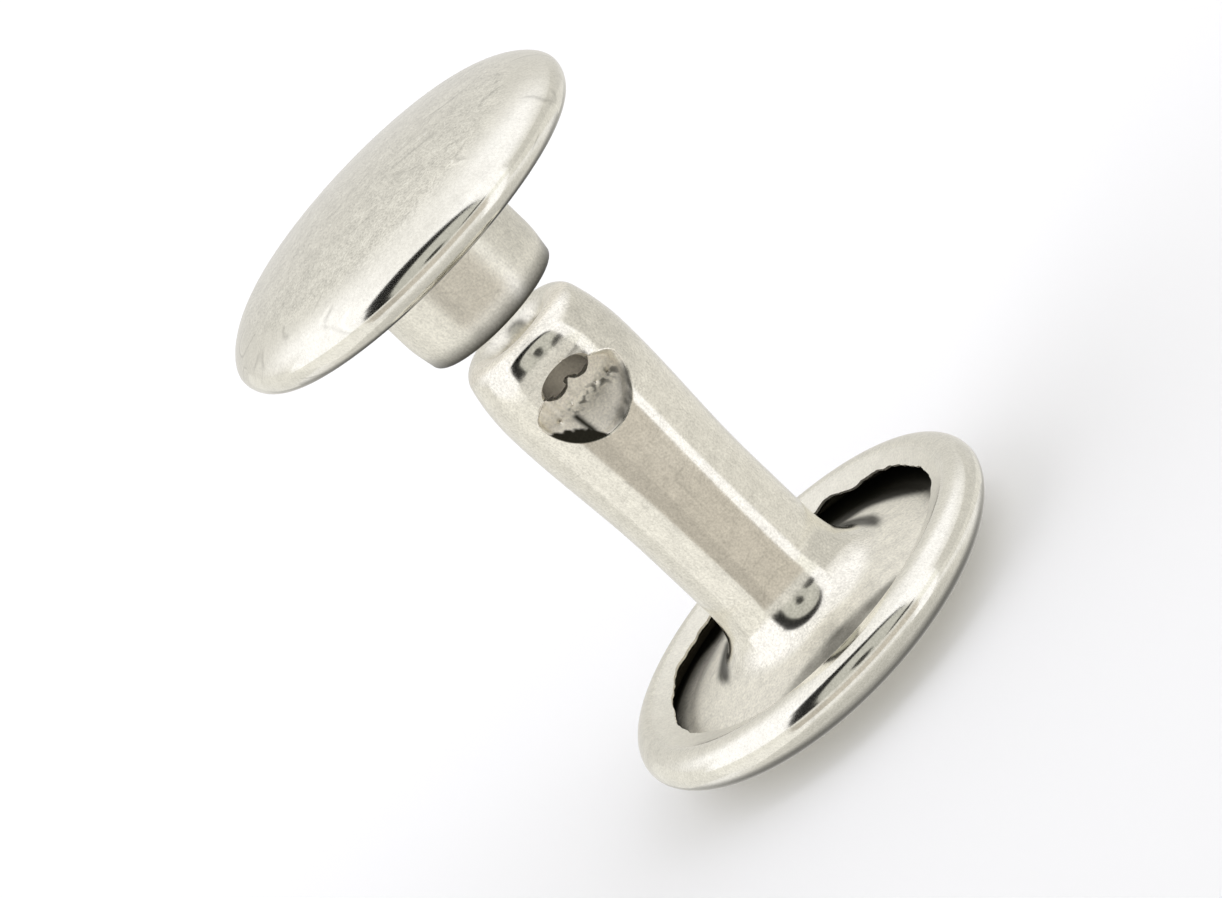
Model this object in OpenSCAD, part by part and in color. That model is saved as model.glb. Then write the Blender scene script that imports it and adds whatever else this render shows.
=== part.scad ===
// Double-cap leather rivet: a post half and a cap half, each made of two pieces
// of thin sheet. Millimetres, +Z up, origin at the middle of the underside.

/* [Cap shell] */
// Diameter over the cap's rim
cap_d = 9.0; // [8:0.1:11]
// Sheet thickness of the cap
cap_t = 0.22; // [0.15:0.01:0.3]
// Height of the shallow dome in the middle of the cap
cap_dome_h = 0.67; // [0.3:0.01:1]
// Height of the soft shoulder between the widest line and the dome
cap_shoulder_h = 0.52; // [0.4:0.01:0.8]
// Width of that soft shoulder
cap_shoulder_w = 1.1; // [0.6:0.05:1.6]
// Depth of the folded rim below the widest line
cap_rim_h = 0.5; // [0.45:0.01:0.7]
// Width of the rounding where the rim folds under
cap_rim_w = 0.45; // [0.35:0.01:0.6]
// Width of the flat hem that traps the socket's flange
cap_hem_w = 0.65; // [0.3:0.05:1.2]

/* [Socket] */
// Outer diameter of the socket's straight barrel
socket_d = 3.5; // [3.3:0.05:4]
// Outer diameter at the mouth, where the barrel is drawn in
mouth_d = 3.32; // [3.15:0.01:3.4]
// Sheet thickness of the socket
socket_t = 0.2; // [0.12:0.01:0.24]
// Length of the barrel below the cap's hem
barrel_l = 2.2; // [1.8:0.05:3.5]
// Length of the drawn-in part at the mouth
taper_l = 0.6; // [0.3:0.05:1]
// Radius of the mouth's outer edge
mouth_edge_r = 0.1; // [0.04:0.01:0.15]
// Radius where the barrel turns out into its flange
socket_bend_r = 0.25; // [0.1:0.05:0.5]

/* [Post] */
// Height of the post's tip above the underside of the rivet
post_h = 10.0; // [9:0.05:14]
// Diameter of the straight shank
post_d = 3.0; // [2.8:0.05:3.2]
// Sheet thickness of the post
post_t = 0.25; // [0.15:0.01:0.3]
// Widest diameter of the head, just under the tip
head_d = 3.32; // [3.2:0.01:3.6]
// Distance from the tip down to the widest line of the head
head_drop = 1.64; // [1.3:0.02:2]
// Length over which the head runs down into the shank
neck_l = 3.9; // [3:0.05:4.5]
// Diameter of the ring along the top of the tip
crest_d = 2.12; // [2:0.02:2.3]
// Radius of the rounded rim round the dimple
crest_r = 0.44; // [0.4:0.01:0.48]
// Depth of the dimple's rounded floor below the middle of that rim
dimple_h = 0.3; // [0.1:0.02:0.6]
// Radius of the gentle flare at the bottom of the shank
flare_r = 2.4; // [1.5:0.1:3]
// Angle through which that flare turns before the tighter bend
flare_a = 16; // [8:1:20]
// Radius of the bend between flare and flange
foot_r = 0.97; // [0.7:0.01:1.2]
// Diameter inside which the flange is dished
dish_d = 7.0; // [6:0.05:7.4]
// Slope of the dished part, in degrees
dish_a = 16; // [8:1:18]

/* [Pressed notch] */
// Height of the notch's widest line below the tip
notch_drop = 1.58; // [1.4:0.02:1.8]
// Width of the notch, seen from the front
notch_w = 2.2; // [1.9:0.02:2.4]
// Height of the bowl below the widest line
notch_under_h = 1.05; // [0.8:0.01:1.2]
// Height of the shoulders above the widest line
notch_over_h = 0.5; // [0.3:0.01:0.6]
// Width of the sheared arch between the shoulders
arch_w = 1.3; // [1:0.02:1.5]
// Height of the top of that arch above the notch's widest line
arch_h = 0.77; // [0.65:0.01:0.85]
// Radius of the scooped ramp in the lower part of the notch
scoop_r = 2.2; // [1.8:0.05:2.6]
// Lean of that ramp away from the vertical, in degrees
scoop_a = 37; // [30:1:45]
// Height of the crease between the ramp and the notch's upright back, below the widest line
crease_drop = 0.28; // [0.2:0.01:0.4]
// Depth of the notch's upright back
notch_depth = 0.72; // [0.6:0.01:0.85]
// Radius of each of the two torn lobes of the opening
lobe_r = 0.37; // [0.3:0.01:0.45]
// Distance of each lobe from the middle
lobe_x = 0.3; // [0.2:0.01:0.35]
// Distance of the lobes' centres below the top of the sheared arch
lobe_drop = 0.32; // [0.25:0.01:0.4]

/* [Base shell] */
// Diameter over the base's rim
base_d = 9.5; // [9:0.05:11]
// Sheet thickness of the base
base_t = 0.25; // [0.15:0.01:0.3]
// Height of the shallow dome under the base
base_dome_h = 0.65; // [0.3:0.01:1]
// Diameter of the flat in the middle of the underside
base_flat_d = 3.2; // [2:0.1:5]
// Height of the rounding between the dome and the widest line
base_under_h = 0.62; // [0.45:0.01:0.9]
// Width of that rounding
base_under_w = 1.1; // [0.6:0.05:1.6]
// Height of the rolled rim above the widest line
roll_h = 0.49; // [0.45:0.01:0.7]
// Width from the widest line in to the top of the roll
roll_w = 0.5; // [0.4:0.01:0.7]
// Radius where the top of the roll turns down to its lip
roll_bend_r = 0.3; // [0.27:0.01:0.4]
// Slope of the lip, in degrees
lip_a = 22; // [10:1:25]
// Width from the top of the roll in to the lip's edge
lip_w = 0.6; // [0.45:0.01:0.65]
// Depth of the waves along the lip's torn edge
tear = 0.1; // [0:0.01:0.12]

/* [Assembly] */
// Clearance between the edge of the post's flange and the wall of the base shell round it
flange_side_gap = 0.25; // [0.15:0.01:0.4]
// Gap between the post's tip and the mouth of the loose cap half
cap_gap = 0.55; // [0.2:0.05:6]
// Clearance between the base shell and the flange that sits in it
seat_gap = 0.02; // [0.01:0.01:0.05]

/* [Hidden] */
$fn = 96;
nickel = [0.80, 0.78, 0.70];
// Steps along a round stretch of a profile
arc_n = 10;
dome_n = 6;
tear_n = 180;
// Overshoot of cutting shapes
over = 1;

cap_r = cap_d / 2;
base_r = base_d / 2;
post_r = post_d / 2;
head_r = head_d / 2;
crest_x = crest_d / 2;
socket_r = socket_d / 2;
mouth_r = mouth_d / 2;
flange_r = base_r - base_t - flange_side_gap;
dish_r = dish_d / 2;

// Heights of the widest lines of base and cap
base_z = base_under_h + base_dome_h * (1 - pow(base_flat_d / base_d, 2));
mouth_z = post_h + cap_gap;
hem_z = mouth_z + barrel_l;
cap_z = hem_z + cap_rim_h;

// Points along part of an ellipse, from angle a0 to angle a1
function oval(c, rx, ry, a0, a1, n = arc_n) =
    [for (i = [0:n]) let (a = a0 + (a1 - a0) * i / n) c + [rx * cos(a), ry * sin(a)]];
function arc(c, r, a0, a1, n = arc_n) = oval(c, r, r, a0, a1, n);
function reversed(p) = [for (i = [len(p) - 1:-1:0]) p[i]];

// Rise of a shallow dome at distance x from the axis
function dome(h, r, x) = h * (1 - pow(x / r, 2));
// Half section of a domed face with soft shoulders, from the widest line in to x_end
function domed_face(r, t, w, h, dome_h, x_end) = concat(
    [for (i = [0:arc_n]) let (a = 90 * i / arc_n, x = r - w + (w - t) * cos(a))
        [x, (h - t) * sin(a) + dome(dome_h, r, x)] ],
    [for (i = [1:dome_n]) let (x = (r - w) + (x_end - r + w) * i / dome_n)
        [x, h - t + dome(dome_h, r, x)] ]);

module lathe(points) {
    rotate_extrude() polygon(points);
}

// Base shell: domed underside, rolled rim and the lip over the post's flange
base_flat_r = base_flat_d / 2;
roll_x = base_r - roll_w;
roll_z = base_z + roll_h;
lip_x = roll_x - lip_w;

function base_face(t) = [for (p = domed_face(base_r, t, base_under_w, base_under_h,
        base_dome_h, base_flat_r)) [p[0], base_z - p[1]]];

// A tongue or bite w degrees wide at the angle "at" of the torn lip
function torn(a, at, w) = exp(-pow(((a - at + 540) % 360 - 180) / w, 2));
// Radius of the torn lip at angle a: two tongues stand in at the right rear, and a slow
// wave and three bites run round the rest
function lip_edge(a) = lip_x + tear * (sin(a + 20) - 1.8 * torn(a, 45, 7)
    - 2 * torn(a, 64, 4) + torn(a, 350, 14) + torn(a, 138, 14) - 1.1 * torn(a, 210, 14)
    + 0.15 * sin(19 * a));

module base_shell() {
    roll_c = [roll_x, base_z];
    bend_c = [roll_x, roll_z - roll_bend_r];
    reach = lip_w + 2.2 * tear;
    lip_top = bend_c + [-reach, roll_bend_r / cos(lip_a) - reach * tan(lip_a)];
    color(nickel) difference() {
        lathe(concat(
            [[0, 0]],
            reversed(base_face(0)),
            oval(roll_c, roll_w, roll_h, 0, 90),
            arc(bend_c, roll_bend_r, 90, 90 + lip_a, 4),
            [lip_top, lip_top - [0, base_t / cos(lip_a)]],
            arc(bend_c, roll_bend_r - base_t, 90 + lip_a, 90, 3),
            oval(roll_c, roll_w - base_t, roll_h - base_t, 90, 0),
            base_face(base_t),
            [[0, base_t]]));
        translate([0, 0, flange_z - post_t]) linear_extrude(roll_h + over)
            polygon([for (i = [0:tear_n - 1]) let (a = 360 * i / tear_n)
                lip_edge(a) * [cos(a), sin(a)]]);
    }
}

// Post: one drawn piece of sheet, from the dimpled tip to the dished flange.
// The flange's outer edge rests inside the base shell.
function base_seat(x) = base_z - (base_under_h - base_t)
    * sqrt(1 - pow((x - base_r + base_under_w) / (base_under_w - base_t), 2))
    - dome(base_dome_h, base_r, x);
flange_z = base_seat(flange_r) + seat_gap + post_t;
foot_x = post_r + flare_r - (flare_r - foot_r) * cos(flare_a);
foot_c = [foot_x, flange_z + (dish_r - foot_x) * tan(dish_a) + foot_r / cos(dish_a)];
flare_c = [post_r + flare_r, foot_c[1] + (flare_r - foot_r) * sin(flare_a)];
crest_c = [crest_x, post_h - crest_r];
head_z = post_h - head_drop;
neck_z = head_z - neck_l;
// The head's side is one arc, tangent to the rim of the tip and upright at its widest
head_rise = crest_c[1] - head_z;
head_a = 2 * atan((head_r - crest_x - crest_r) / head_rise);
side_r = crest_r + head_rise / sin(head_a);
side_c = [head_r - side_r, head_z];

function neck(t) = [for (i = [1:arc_n])
    [post_r - t + (head_r - post_r) * (1 + cos(180 * i / arc_n)) / 2,
     head_z - neck_l * i / arc_n]];
// Half section from the middle of the dimple down to the foot of the shank, t inside the skin
function post_side(t) = concat(
    oval([0, crest_c[1]], crest_x - crest_r + t, dimple_h + t, -90, 0),
    reversed(arc(crest_c, crest_r - t, head_a, 180)),
    reversed(arc(side_c, side_r - t, 0, head_a)),
    neck(t),
    arc(flare_c, flare_r + t, 180, 180 + flare_a, 4),
    arc(foot_c, foot_r + t, 180 + flare_a, 270 - dish_a));

module post_skin() {
    lathe(concat(post_side(0),
        [[dish_r, flange_z], [flange_r, flange_z],
         [flange_r, flange_z - post_t], [0, flange_z - post_t]]));
}
module post_hollow() {
    lathe(concat(post_side(post_t),
        [[dish_r, flange_z - post_t], [dish_r, flange_z - post_t - over],
         [0, flange_z - post_t - over]]));
}

// The notch is pressed in from the front: a sheared arch over a scooped bowl
notch_z = post_h - notch_drop;
arch_top_z = notch_z + arch_h;
notch_back = head_r - notch_depth;
// Outline of the notch seen from the front, t outside its edge
module notch_outline(t) {
    rx = notch_w / 2 + t;
    polygon(concat(oval([0, notch_z], rx, notch_over_h + t, 0, 180, 2 * arc_n),
        oval([0, notch_z], rx, notch_under_h + t, 180, 360, 2 * arc_n)));
    polygon(oval([0, notch_z + arch_h / 2], arch_w / 2 + t, arch_h / 2 + t, 0, 360, 3 * arc_n));
}
module notch(t) {
    intersection() {
        translate([0, t - notch_back, 0]) rotate([90, 0, 0]) linear_extrude(head_r) notch_outline(t);
        translate([0, -notch_back, notch_z - crease_drop]) rotate([-scoop_a, 0, 0])
            translate([0, -scoop_r, -head_d]) cylinder(r = scoop_r + t, h = 3 * head_d);
    }
}
// Torn opening under the arch: two lobes and the middle between them
module tear_opening() {
    for (x = [-lobe_x, 0, lobe_x])
        translate([x, post_t * 1.6 - notch_back, arch_top_z - (x == 0 ? 0.75 * lobe_drop : lobe_drop)])
            rotate([90, 0, 0]) cylinder(r = x == 0 ? 0.8 * lobe_r : lobe_r, h = 2.4 * post_t);
}

module post() {
    color(nickel) difference() {
        post_skin();
        difference() {
            post_hollow();
            notch(post_t);
        }
        notch(0);
        tear_opening();
    }
}

// Socket: an eyelet whose flange lies on the cap's hem
hem_x = cap_r - cap_rim_w - cap_hem_w;
socket_flange_z = hem_z + cap_t;
socket_flange_r = cap_r - cap_rim_w;
taper_z = mouth_z + taper_l;
mouth_slope = atan((socket_r - mouth_r) / (taper_l - mouth_edge_r));

module cap_socket() {
    bend_c = [socket_r + socket_bend_r, socket_flange_z - socket_bend_r];
    edge_c = [mouth_r - mouth_edge_r * cos(mouth_slope), mouth_z + mouth_edge_r];
    bore_r = socket_r - socket_t;
    color(nickel) lathe(concat(
        [[socket_flange_r, socket_flange_z]],
        arc(bend_c, socket_bend_r, 90, 180),
        [[socket_r, taper_z]],
        arc(edge_c, mouth_edge_r, -mouth_slope, -90, 5),
        [[mouth_r - socket_t, mouth_z], [bore_r, taper_z]],
        arc(bend_c, socket_bend_r + socket_t, 180, 90),
        [[socket_flange_r, socket_flange_z + socket_t]]));
}

// Cap shell: domed face, soft shoulder and the hem folded under the socket's flange
function cap_face(t) = [for (p = domed_face(cap_r, t, cap_shoulder_w, cap_shoulder_h,
        cap_dome_h, 0)) [p[0], cap_z + p[1]]];

module cap_shell() {
    rim_c = [cap_r - cap_rim_w, cap_z];
    color(nickel) lathe(concat(
        reversed(cap_face(0)),
        oval(rim_c, cap_rim_w, cap_rim_h, 0, -90),
        [[hem_x, hem_z], [hem_x, hem_z + cap_t]],
        oval(rim_c, cap_rim_w - cap_t, cap_rim_h - cap_t, -90, 0),
        cap_face(cap_t)));
}

base_shell();
post();
cap_socket();
cap_shell();
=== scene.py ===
"""Double-cap leather rivet: the finished surfaces of its four pieces of sheet, and a small studio."""

import math

import bmesh
import bpy
from bpy.props import FloatProperty, FloatVectorProperty, PointerProperty
from mathutils import Matrix, Vector, noise


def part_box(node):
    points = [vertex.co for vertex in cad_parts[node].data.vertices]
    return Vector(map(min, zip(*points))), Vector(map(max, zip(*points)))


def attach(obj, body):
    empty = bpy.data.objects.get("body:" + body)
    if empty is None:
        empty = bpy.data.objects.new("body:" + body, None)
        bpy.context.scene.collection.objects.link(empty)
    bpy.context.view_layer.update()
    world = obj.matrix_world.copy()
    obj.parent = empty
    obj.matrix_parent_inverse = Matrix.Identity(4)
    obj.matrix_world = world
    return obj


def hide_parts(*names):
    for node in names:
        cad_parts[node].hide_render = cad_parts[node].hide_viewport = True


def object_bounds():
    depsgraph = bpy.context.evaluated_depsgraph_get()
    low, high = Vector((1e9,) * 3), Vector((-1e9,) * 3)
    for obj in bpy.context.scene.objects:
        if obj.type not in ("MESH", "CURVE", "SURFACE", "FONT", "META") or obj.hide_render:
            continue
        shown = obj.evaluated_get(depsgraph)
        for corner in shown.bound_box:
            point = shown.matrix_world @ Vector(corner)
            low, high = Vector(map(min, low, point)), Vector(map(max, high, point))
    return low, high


bl_info = {
    "name": "Double-cap leather rivet",
    "version": (1, 0, 0),
    "blender": (4, 5, 0),
    "location": "3D View > Sidebar > Rivet",
    "description": "Builds the nickel-plated sheet pieces of an unset leather rivet",
    "category": "Object",
}

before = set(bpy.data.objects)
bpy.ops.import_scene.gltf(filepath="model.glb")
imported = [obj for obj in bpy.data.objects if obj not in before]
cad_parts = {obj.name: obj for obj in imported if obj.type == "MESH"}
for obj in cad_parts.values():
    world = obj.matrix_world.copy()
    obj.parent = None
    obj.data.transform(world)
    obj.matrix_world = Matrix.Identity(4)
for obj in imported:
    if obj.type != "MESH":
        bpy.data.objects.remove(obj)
CAD_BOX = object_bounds()
_, BASE_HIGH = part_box("base_shell")
POST_LOW, POST_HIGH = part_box("post")
SOCKET_LOW, SOCKET_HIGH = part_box("cap_socket")
CAP_LOW, CAP_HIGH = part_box("cap_shell")

MM = 0.001
ROOT = "root"

# Distances that count as none: in a section, in a turned piece, and where the lip starts
SAME_POINT = 1e-4 * MM
WELD = 2e-4 * MM
LIP_START = 1e-3 * MM

# Half the width within which the notch is pressed, and the height above which the skin's front is shaped
PRESSED_W = 1.3 * MM
PRESSED_LOW = 3 * MM

# How dull the plate is, and the part of its mottle that is left where it is even
LIP_DULL = 0.6
FLANGE_DULL = 0.8
TIP_DULL = 0.5
SOCKET_DULL = 0.35
EVEN_MOTTLE = 0.35

# Steps round the axis
BASE_STEPS = 360
SOCKET_STEPS = 192
CAP_STEPS = 288
CLOTH_STEPS = 24
OVAL_STEPS = 96

# The camera's side in degrees, and the sector of the post round it that holds the notch and takes finer steps
FRONT = -90
POST_FRONT = 112
POST_FRONT_STEPS = 128
POST_REAR_STEPS = 96

# Studio, in metres
FLOOR_R = 0.6
CLIP_START = 0.005
CLIP_END = 5

# Lit surfaces, each as its colour and strength
PEARL = (1, 0.99, 0.96)
SAND = (1, 0.985, 0.95)
APRON = (1, 0.94, 0.86)
GLOWS = {
    "bright_cloth": ((1, 1, 1.04), 1.29),
    "soft_cloth": ((1, 0.99, 0.97), 1.05),
    "left_shade": (PEARL, 1.02),
    "left_cloth": (PEARL, 0.9),
    "left_grey": (PEARL, 0.93),
    "right_shade": ((1, 1, 0.98), 1.14),
    "right_cloth": (SAND, 0.87),
    "right_grey": (SAND, 0.74),
    "front_shade": (APRON, 0.6),
    "front_cloth": (APRON, 0.7),
    "opening_shade": ((1, 1, 0.9), 0.004),
    "grey_cloth": ((1, 1, 0.95), 0.64),
    "line_shade": ((1, 1, 0.95), 0.25),
    "lens_glass": ((1, 1, 0.9), 0.03),
    "inner_light": ((1, 1.02, 1.2), 9.2),
}

# Upright cloths: from and to in degrees right of the camera's side; bottom, top and radius in millimetres; glow
CLOTHS = (
    ("left_panel", -105, -49, 12, 190, 110, "bright_cloth"),
    ("left_skirt", -100, -50, -120, -25, 110, "soft_cloth"),
    ("left_shoulder", -100, -50, -25, 12, 110, "left_shade"),
    ("left_side", -150, -100, -60, -25, 110, "left_cloth"),
    ("left_back", -150, -100, -25, 30, 110, "left_grey"),
    ("right_panel", 37, 57, 12, 190, 110, "bright_cloth"),
    ("right_skirt", 37, 57, -120, -25, 110, "bright_cloth"),
    ("right_shoulder", 37, 57, -25, 12, 110, "right_shade"),
    ("right_side", 57, 150, -60, -25, 110, "right_cloth"),
    ("right_back", 57, 150, -25, 30, 110, "right_grey"),
    ("front_left", -49, -26, -44, -1, 100, "front_shade"),
    ("front_right", -26, 39, -44, -1, 100, "front_cloth"),
)

# The opening that the camera looks through: dark edge, grey cloth inside it and the lens, all in millimetres.
# Centre, half width and half height; level bottom; glow; how much nearer it stands to the rivet
OPENING_AWAY = 90 * MM
OPENING = (
    ("opening_edge", (-21, -12), (79, 128), -19, "opening_shade", 0),
    ("opening_inside", (4, -12), (54, 77), -19, "grey_cloth", 1),
    ("opening_line", (4, -80), (54, 63), -19, "line_shade", 2),
    ("opening_wedge", (52, -19), (26, 13), -19, "opening_shade", 3),
    ("lens", (0, -2), (10.5, 12.5), -15, "lens_glass", 3),
)

# The tent's tone at each height of a direction, in degrees above the level
TENT_REAR = (
    (-90, 0.60), (-70, 0.42), (-52, 0.17), (-40, 0.2), (-28, 0.5), (-18, 0.8), (0, 0.76), (23, 0.77),
    (42, 0.86), (60, 1.0), (72, 1.05), (90, 1.06),
)
TENT_FRONT = (
    (-90, 0.62), (-60, 0.7), (-51, 0.78), (-39, 1.02), (-24, 0.98), (-16, 0.9), (0, 0.85), (8, 0.85),
    (20, 1.0), (30, 1.12), (38, 1.24), (58, 1.22), (74, 1.12), (90, 1.06),
)


# Helpers for the properties

def length(name, description, mm):
    return FloatProperty(name=name, description=description, default=mm * MM, unit="LENGTH", precision=5)


def slope(name, description, degrees):
    return FloatProperty(name=name, description=description, default=math.radians(degrees), unit="ROTATION")


def share(name, description, value, most=1.0):
    return FloatProperty(name=name, description=description, default=value, min=0, max=most, subtype="FACTOR")


def paint(name, description, red, green, blue):
    return FloatVectorProperty(
        name=name, description=description, default=(red, green, blue, 1), size=4, min=0, max=1, subtype="COLOR"
    )


class CapSizes(bpy.types.PropertyGroup):
    """Sizes of the cap's shell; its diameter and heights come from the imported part"""

    sheet: length("Sheet", "Thickness of the cap's sheet", 0.22)
    dome_h: length("Dome", "Height of the shallow dome in the middle", 0.67)
    shoulder_h: length("Shoulder height", "Height of the soft shoulder above the widest line", 0.52)
    shoulder_w: length("Shoulder width", "Width of the soft shoulder", 1.1)
    rim_h: length("Rim depth", "Depth of the folded rim below the widest line", 0.5)
    rim_w: length("Rim width", "Width of the rounding where the rim folds under", 0.45)
    hem_w: length("Hem", "Width of the flat hem under the cap", 0.65)


class SocketSizes(bpy.types.PropertyGroup):
    """Sizes of the socket under the cap"""

    sheet: length("Sheet", "Thickness of the socket's sheet", 0.2)
    barrel_d: length("Barrel", "Outer diameter of the straight barrel", 3.5)
    mouth_d: length("Mouth", "Outer diameter at the drawn-in mouth", 3.32)
    taper_l: length("Taper", "Length of the drawn-in part", 0.6)
    edge_r: length("Edge", "Radius of the mouth's outer edge", 0.1)
    bend_r: length("Bend", "Radius where the barrel turns out into its flange", 0.25)


class PostSizes(bpy.types.PropertyGroup):
    """Sizes of the drawn post"""

    sheet: length("Sheet", "Thickness of the post's sheet", 0.25)
    shank_d: length("Shank", "Diameter of the straight shank", 3.0)
    head_d: length("Head", "Widest diameter of the head", 3.32)
    head_drop: length("Head drop", "From the tip down to the widest line of the head", 1.64)
    neck_l: length("Neck", "Length over which the head runs down into the shank", 3.9)
    crest_d: length("Crest", "Diameter of the ring along the top of the tip", 2.12)
    crest_r: length("Crest radius", "Radius of the rounded rim round the dimple", 0.44)
    dimple_h: length("Dimple", "Depth of the dimple's floor below the middle of that rim", 0.38)
    flare_r: length("Flare", "Radius of the gentle flare at the bottom of the shank", 2.4)
    flare_a: slope("Flare turn", "Angle through which that flare turns before the tighter bend", 16)
    foot_r: length("Foot", "Radius of the bend between flare and flange", 0.97)
    dish_d: length("Dish", "Diameter inside which the flange is dished", 7.0)
    dish_a: slope("Dish slope", "Slope of the dished part", 16)


class NotchSizes(bpy.types.PropertyGroup):
    """Sizes of the notch pressed into the head; heights are measured from its widest line"""

    drop: length("Drop", "Height of the notch's widest line below the tip", 1.58)
    width: length("Width", "Width of the notch, seen from the front", 2.2)
    under_h: length("Bowl", "Height of the bowl below the widest line", 1.05)
    over_h: length("Shoulders", "Height of the shoulders above the widest line", 0.5)
    arch_w: length("Arch width", "Width of the sheared arch between the shoulders", 1.3)
    arch_h: length("Arch height", "Height of the top of that arch above the widest line", 0.77)
    depth: length("Depth", "Depth of the notch's upright back", 0.72)
    crease_drop: length("Crease", "Height of the crease above the bowl, below the widest line", 0.28)
    scoop_r: length("Scoop", "Radius of the scooped ramp in the lower part", 2.2)
    scoop_a: slope("Scoop lean", "Lean of that ramp away from the upright", 37)
    lobe_r: length("Lobe", "Radius of each of the two torn lobes of the opening", 0.37)
    lobe_x: length("Lobe offset", "Distance of each lobe from the middle", 0.3)
    lobe_drop: length("Lobe drop", "Distance of the lobes' centres below the top of the arch", 0.32)
    pull: length("Pull", "Depth by which the skin above the notch is drawn in with it", 0.03)
    flat: length("Flattening", "Depth by which the head's front is flattened from the tip down", 0.05)
    turn: share("Turn", "Sideways turn of the shank's front below the notch", 0.085)
    burr: length("Burrs", "Height of the burrs along the notch's crease", 0.06)
    streak: length("Streaks", "Height of the streaks along the notch's back and of the bowl's unevenness", 0.012)


class BaseSizes(bpy.types.PropertyGroup):
    """Sizes of the base shell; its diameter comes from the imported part"""

    sheet: length("Sheet", "Thickness of the base's sheet", 0.25)
    dome_h: length("Dome", "Height of the shallow dome under the base", 0.65)
    flat_d: length("Flat", "Diameter of the flat in the middle of the underside", 3.2)
    under_h: length("Underside height", "Height of the rounding under the widest line", 0.62)
    under_w: length("Underside width", "Width of that rounding", 1.1)
    roll_h: length("Roll height", "Height of the rolled rim above the widest line", 0.49)
    roll_w: length("Roll width", "Width from the widest line in to the top of the roll", 0.5)
    roll_bend_r: length("Roll bend", "Radius where the top of the roll turns down to its lip", 0.3)
    lip_a: slope("Lip slope", "Slope of the lip", 22)
    lip_w: length("Lip width", "Width from the top of the roll in to the lip's edge", 0.6)
    lip_sheet: length("Lip sheet", "Thickness to which the sheet is torn out at the lip's edge", 0.07)
    tear: length("Tear", "Depth of the waves along the lip's torn edge", 0.1)


class NickelFinish(bpy.types.PropertyGroup):
    """Colours and textures of the plated sheet, and the colour of its painted shade"""

    bright: paint("Bright nickel", "Colour of the bright plate", 0.80, 0.78, 0.70)
    drawn: paint("Drawn nickel", "Colour of the plate on the drawn pieces", 0.79, 0.765, 0.68)
    torn: paint("Torn sheet", "Colour of the bare metal at torn edges", 0.88, 0.84, 0.74)
    # Painted shade: the colour into which shade and shaded reflections are painted on the plate
    painted_shade: paint("Painted shade", "Colour of the painted shade", 0.03, 0.028, 0.02)
    # The inner side's colour is far darker than the metal: painted shade for the cavities seen through the gaps
    # and the torn opening
    inside: paint("Inside", "Colour of the sheet's dull inner side", 0.06, 0.0525, 0.035)
    bright_rough: share("Bright roughness", "Roughness of the bright plate", 0.13)
    drawn_rough: share("Drawn roughness", "Roughness of the drawn plate", 0.14)
    dull_rough: share("Dull roughness", "Roughness of the plate where it is dull", 0.6)
    torn_rough: share("Torn roughness", "Roughness of the bare metal", 0.5)
    grain: length("Grain", "Size of the plate's fine grain", 0.05)
    nick: length("Nicks", "Distance over which the small nicks on the drawn pieces wander", 0.4)
    scuff: length("Scuffs", "Distance over which the scuffs on the cap wander", 0.7)


class StudioSizes(bpy.types.PropertyGroup):
    """Camera and light"""

    distance: length("Distance", "Camera distance", 95)
    elevation: slope("Elevation", "Camera height above the horizon", 16.81)
    roll: slope("Roll", "Turn of the rivet's axis to the left in the picture", 46.6)
    aim_x: length("Aim across", "Sideways place of the rivet's axis in the picture", 0.41)
    aim_y: length("Aim up", "Upward place of the rivet's middle in the picture", 0.497)
    lens: FloatProperty(name="Lens", description="Focal length in millimetres", default=136.96, unit="CAMERA")


# Numbers

def fade(value, start, end):
    """Zero on the start's side, one beyond the end, with a soft step between them."""
    t = min(max((value - start) / (end - start), 0), 1)
    return t * t * (3 - 2 * t)


def bell(distance, width):
    return math.exp(-((distance / width) ** 2))


def between(start, end, t):
    return start + (end - start) * t


def evenly(start, end, steps):
    """Numbers in equal steps up to the end, without the start."""
    return [between(start, end, i / steps) for i in range(1, steps + 1)]


def spaced(start, end, step):
    """Numbers from start to end, about a step apart."""
    return [start] + evenly(start, end, max(1, round(abs(end - start) / step)))


# Section drawing and turning

def oval(centre, rx, rz, start, end, steps):
    """Points along part of an ellipse in a section, from one angle in degrees to another."""
    turns = [math.radians(angle) for angle in [start] + evenly(start, end, steps)]
    return [(centre[0] + rx * math.cos(a), centre[1] + rz * math.sin(a)) for a in turns]


def joined(*runs):
    """One list of points from several, without repeated ones."""
    points = []
    for run in runs:
        for p in run:
            if not points or math.dist(p, points[-1]) > SAME_POINT:
                points.append(p)
    return points


def spot(point, azimuth):
    """The place of a section's point at an azimuth round the axis."""
    return Vector((point[0] * math.cos(azimuth), point[0] * math.sin(azimuth), point[1]))


def edit_all():
    """Edit mode with everything selected."""
    bpy.ops.object.mode_set(mode="EDIT")
    bpy.ops.mesh.select_all(action="SELECT")


def draw_section(name, points, azimuth=0.0):
    """Starts from a small plane merged to a point and extrudes it along the section; stays in edit mode."""
    bpy.ops.mesh.primitive_plane_add(size=MM, location=spot(points[0], azimuth))
    obj = bpy.context.object
    obj.name = obj.data.name = name
    bpy.ops.object.transform_apply(location=True, rotation=False, scale=False)
    edit_all()
    bpy.ops.mesh.select_mode(type="VERT")
    bpy.ops.mesh.merge(type="CENTER")
    for before, after in zip(points, points[1:]):
        step = spot(after, azimuth) - spot(before, azimuth)
        bpy.ops.mesh.extrude_region_move(TRANSFORM_OT_translate={"value": step})
    bpy.ops.mesh.select_all(action="SELECT")
    return obj


def turn(steps, degrees):
    """Spins the selected section; the tool turns against the clock round an axis that points down."""
    bpy.ops.mesh.spin(
        steps=steps, angle=math.radians(degrees), center=(0, 0, 0), axis=(0, 0, -1), use_auto_merge=False
    )


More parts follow.
